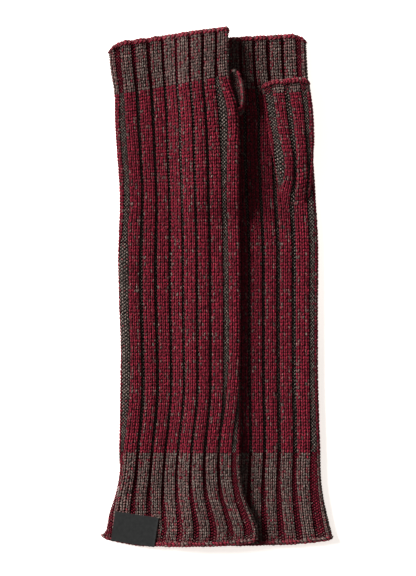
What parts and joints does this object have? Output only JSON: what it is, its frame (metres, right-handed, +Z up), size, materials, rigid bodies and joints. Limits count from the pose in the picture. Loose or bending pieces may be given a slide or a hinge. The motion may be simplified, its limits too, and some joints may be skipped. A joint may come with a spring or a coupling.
{
  "type": "pair of knitted arm warmers",
  "caption": "Pair of long ribbed knit arm warmers with short thumbs and flared elbow cuffs, laid flat, one lying partly on the other.",
  "frame": {"origin": "centre of the pair's outline, on the surface that it lies on", "axes": "+X across the two warmers, from the left one to the right one; +Y along them, from the elbow hems to the finger ends; +Z up"},
  "size_m": [0.173, 0.3894, 0.0162],
  "materials": {
    "crimson_rib": "crimson heather wool-blend rib knit, matt with a soft nap",
    "grey_heather_rib": "taupe-grey heather wool-blend rib knit, matt with a soft nap",
    "black_woven_label": "flat black woven tape, slight satin"
  },
  "bodies": {
    "root": {"left_hand_band": "grey_heather_rib", "left_arm": "crimson_rib", "left_elbow_cuff": "grey_heather_rib", "left_thumb": "crimson_rib", "label": "black_woven_label", "right_hand_band": "grey_heather_rib", "right_arm": "crimson_rib", "right_elbow_cuff": "grey_heather_rib", "right_thumb": "crimson_rib"}
  },
  "joints": []
}
